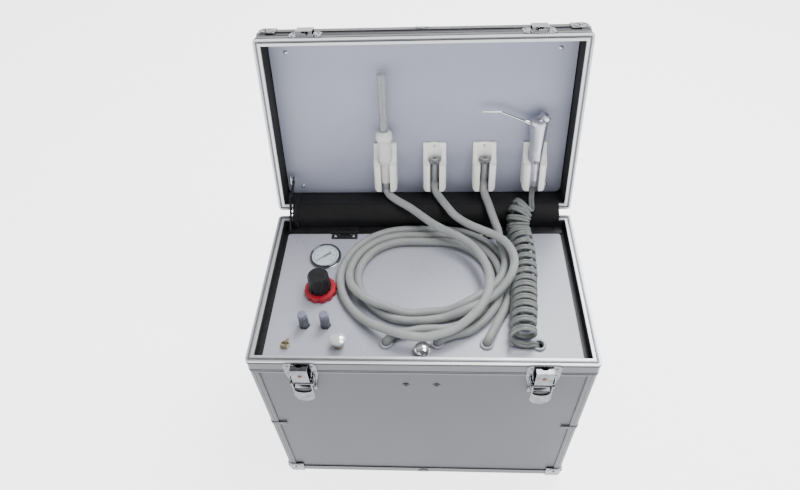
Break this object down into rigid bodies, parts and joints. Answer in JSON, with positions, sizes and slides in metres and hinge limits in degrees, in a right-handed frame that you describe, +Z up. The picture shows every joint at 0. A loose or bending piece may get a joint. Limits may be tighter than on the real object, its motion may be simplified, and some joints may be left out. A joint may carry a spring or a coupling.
{
  "type": "portable dental unit",
  "caption": "Aluminium carrying case with a hinged lid holding dental instruments over a hinged control deck with coiled hoses, a pressure gauge and valves.",
  "frame": {"origin": "on the floor, at the middle of the case's base between its four feet", "axes": "+Z up, -Y out of the front with the latches, +X to the right seen from the front, in metres, with the lid standing open"},
  "size_m": [0.4242, 0.3682, 0.5771],
  "materials": {
    "case_panel": "aluminium-faced board, lightly brushed",
    "edge_section": "satin anodised extrusion",
    "pressed_steel": "bright nickel plate",
    "zinc_trim": "zinc-plated pressings",
    "black_foam": "matte black foam cloth",
    "black_steel": "black powder coat",
    "rubber_black": "matte",
    "deck_sheet": "pale lilac-grey satin paint",
    "black_plastic": "fine matte moulding",
    "motor_casting": "sand-cast, painted grey",
    "tank_paint": "grey enamel",
    "bottle_plastic": "translucent natural plastic",
    "hose_silicone": "light grey silicone",
    "curly_plastic": "glossy light grey tubing",
    "holder_plastic": "off-white moulding",
    "white_plastic": "white moulding",
    "clear_plastic": "clear tube",
    "grey_metal": "dark anodised turning",
    "chrome": "polished chrome",
    "dial_face": "white dial",
    "glass": "clear window",
    "red_plastic": "red moulding",
    "brass": "turned brass",
    "knob_metal": "knurled grey anodised knob",
    "blue_plastic": "blue moulding"
  },
  "bodies": {
    "case": {"base_panels": "case_panel", "base_frame": "edge_section", "base_rim": "edge_section", "base_corner_caps": "zinc_trim", "base_trim": "zinc_trim", "base_lining": "black_foam", "deck_rails": "black_steel", "rubber_feet": "rubber_black", "latch_plates": "pressed_steel", "base_hinge_leaf": "zinc_trim", "hinge_flap": "black_foam", "power_inlet": "black_plastic", "compressor": "motor_casting", "air_tank": "tank_paint", "bottles": "bottle_plastic", "hose_spans": "hose_silicone", "curly_lead": "curly_plastic"},
    "lid": {"lid_panels": "case_panel", "lid_frame": "edge_section", "lid_rim": "edge_section", "lid_corner_caps": "zinc_trim", "lid_lining": "black_foam", "lid_inner_panel": "deck_sheet", "lid_hinge_leaf": "zinc_trim", "latch_strikes": "pressed_steel", "handle_brackets": "zinc_trim", "instrument_holders": "holder_plastic", "ejector_handle": "white_plastic", "handpiece_connectors": "grey_metal", "syringe_body": "chrome", "lid_panel_fixings": "black_steel"},
    "deck": {"deck_panel": "deck_sheet", "deck_hinges": "black_steel", "pull_knob": "chrome", "gauge_case": "knob_metal", "gauge_dial": "dial_face", "gauge_lens": "glass", "ring_nut": "red_plastic", "control_valves": "brass", "hose_grommets": "rubber_black", "hose_coil": "hose_silicone", "curly_hose": "curly_plastic"},
    "stay_lower": {"stay_lower": "black_steel"},
    "stay_upper": {"stay_upper": "black_steel"},
    "latch_lever_left": {"latch_lever_left": "pressed_steel"},
    "latch_lever_right": {"latch_lever_right": "pressed_steel"},
    "latch_claw_left": {"latch_claw_left": "pressed_steel"},
    "latch_claw_right": {"latch_claw_right": "pressed_steel"},
    "regulator_knob": {"regulator_knob": "black_plastic"},
    "flow_knob_left": {"flow_knob_left": "knob_metal"},
    "flow_knob_right": {"flow_knob_right": "knob_metal"},
    "toggle_lever": {"toggle_lever": "brass"},
    "purge_button": {"purge_button": "white_plastic"},
    "gauge_needle": {"gauge_needle": "black_plastic"},
    "ejector_tip": {"ejector_tip": "clear_plastic"},
    "syringe_nozzle": {"syringe_nozzle": "chrome"},
    "air_button": {"air_button": "blue_plastic"},
    "water_button": {"water_button": "blue_plastic"},
    "carry_handle": {"carry_handle": "black_plastic"},
    "rocker_switch": {"rocker_switch": "black_plastic"}
  },
  "joints": [
    {"name": "lid_hinge", "type": "hinge", "parent": "case", "child": "lid", "pos_m": [0, 0.1275, 0.3253], "axis": [-1, 0, 0], "range_deg": [-104, 0], "deforming": ["hose_spans", "curly_lead", "hinge_flap", "curly_hose", "hose_coil"]},
    {"name": "stay_lower_hinge", "type": "hinge", "parent": "case", "child": "stay_lower", "pos_m": [-0.1902, 0.101, 0.319], "axis": [-1, 0, 0], "range_deg": [-104, 0]},
    {"name": "stay_upper_hinge", "type": "hinge", "parent": "lid", "child": "stay_upper", "pos_m": [-0.1882, 0.16175, 0.36056], "axis": [-1, 0, 0], "range_deg": [0, 104]},
    {"name": "deck_hinge", "type": "hinge", "parent": "case", "child": "deck", "pos_m": [0, 0.0986, 0.3145], "axis": [-1, 0, 0], "range_deg": [0, 75], "deforming": ["hose_spans", "curly_lead", "hinge_flap", "curly_hose", "hose_coil"]},
    {"name": "latch_lever_left_hinge", "type": "hinge", "parent": "case", "child": "latch_lever_left", "pos_m": [-0.145, -0.129, 0.289], "axis": [-1, 0, 0], "range_deg": [0, 100]},
    {"name": "latch_claw_left_hinge", "type": "hinge", "parent": "latch_lever_left", "child": "latch_claw_left", "pos_m": [-0.145, -0.1264, 0.283], "axis": [-1, 0, 0], "range_deg": [-100, 0]},
    {"name": "latch_lever_right_hinge", "type": "hinge", "parent": "case", "child": "latch_lever_right", "pos_m": [0.145, -0.129, 0.289], "axis": [-1, 0, 0], "range_deg": [0, 100]},
    {"name": "latch_claw_right_hinge", "type": "hinge", "parent": "latch_lever_right", "child": "latch_claw_right", "pos_m": [0.145, -0.1264, 0.283], "axis": [-1, 0, 0], "range_deg": [-100, 0]},
    {"name": "regulator_turn", "type": "hinge", "parent": "deck", "child": "regulator_knob", "pos_m": [-0.134, -0.006, 0.32], "axis": [0, 0, 1], "range_deg": [-360, 360]},
    {"name": "flow_knob_left_turn", "type": "hinge", "parent": "deck", "child": "flow_knob_left", "pos_m": [-0.148, -0.061, 0.316], "axis": [0, 0, 1], "range_deg": [-360, 360]},
    {"name": "flow_knob_right_turn", "type": "hinge", "parent": "deck", "child": "flow_knob_right", "pos_m": [-0.121, -0.061, 0.316], "axis": [0, 0, 1], "range_deg": [-360, 360]},
    {"name": "toggle_tilt", "type": "hinge", "parent": "deck", "child": "toggle_lever", "pos_m": [-0.168, -0.091, 0.3148], "axis": [0, -1, 0], "range_deg": [0, 50]},
    {"name": "purge_push", "type": "slide", "parent": "deck", "child": "purge_button", "axis": [0, 0, -1], "range_m": [0, 0.003], "stiffness_N_per_m": 600, "springref_m": -0.002},
    {"name": "gauge_needle_turn", "type": "hinge", "parent": "deck", "child": "gauge_needle", "pos_m": [-0.135, 0.054, 0.3165], "axis": [0, 0, -1], "range_deg": [0, 270], "stiffness_Nm_per_rad": 0.0005},
    {"name": "ejector_tip_slide", "type": "slide", "parent": "lid", "child": "ejector_tip", "axis": [0, 0.2419, 0.9703], "range_m": [0, 0.02]},
    {"name": "nozzle_swivel", "type": "hinge", "parent": "lid", "child": "syringe_nozzle", "pos_m": [0.146, 0.17831, 0.44352], "axis": [-0.9244, 0.0923, 0.37], "continuous": true},
    {"name": "air_button_push", "type": "slide", "parent": "lid", "child": "air_button", "axis": [-0.6428, -0.1853, -0.7433], "range_m": [0, 0.002], "stiffness_N_per_m": 500, "springref_m": -0.002},
    {"name": "water_button_push", "type": "slide", "parent": "lid", "child": "water_button", "axis": [-0.6428, -0.1853, -0.7433], "range_m": [0, 0.002], "stiffness_N_per_m": 500, "springref_m": -0.002},
    {"name": "handle_swing", "type": "hinge", "parent": "lid", "child": "carry_handle", "pos_m": [0, 0.20909, 0.43636], "axis": [1, 0, 0], "range_deg": [-14, 86]},
    {"name": "switch_rock", "type": "hinge", "parent": "case", "child": "rocker_switch", "pos_m": [0.155, 0.11942, 0.06772], "axis": [-1, 0, 0], "range_deg": [0, 16]}
  ],
  "couplings": [
    {"joint": "stay_lower_hinge", "follows": "lid_hinge", "ratio": 1},
    {"joint": "stay_upper_hinge", "follows": "lid_hinge", "ratio": -1},
    {"joint": "latch_claw_left_hinge", "follows": "latch_lever_left_hinge", "ratio": -1},
    {"joint": "latch_claw_right_hinge", "follows": "latch_lever_right_hinge", "ratio": -1}
  ]
}
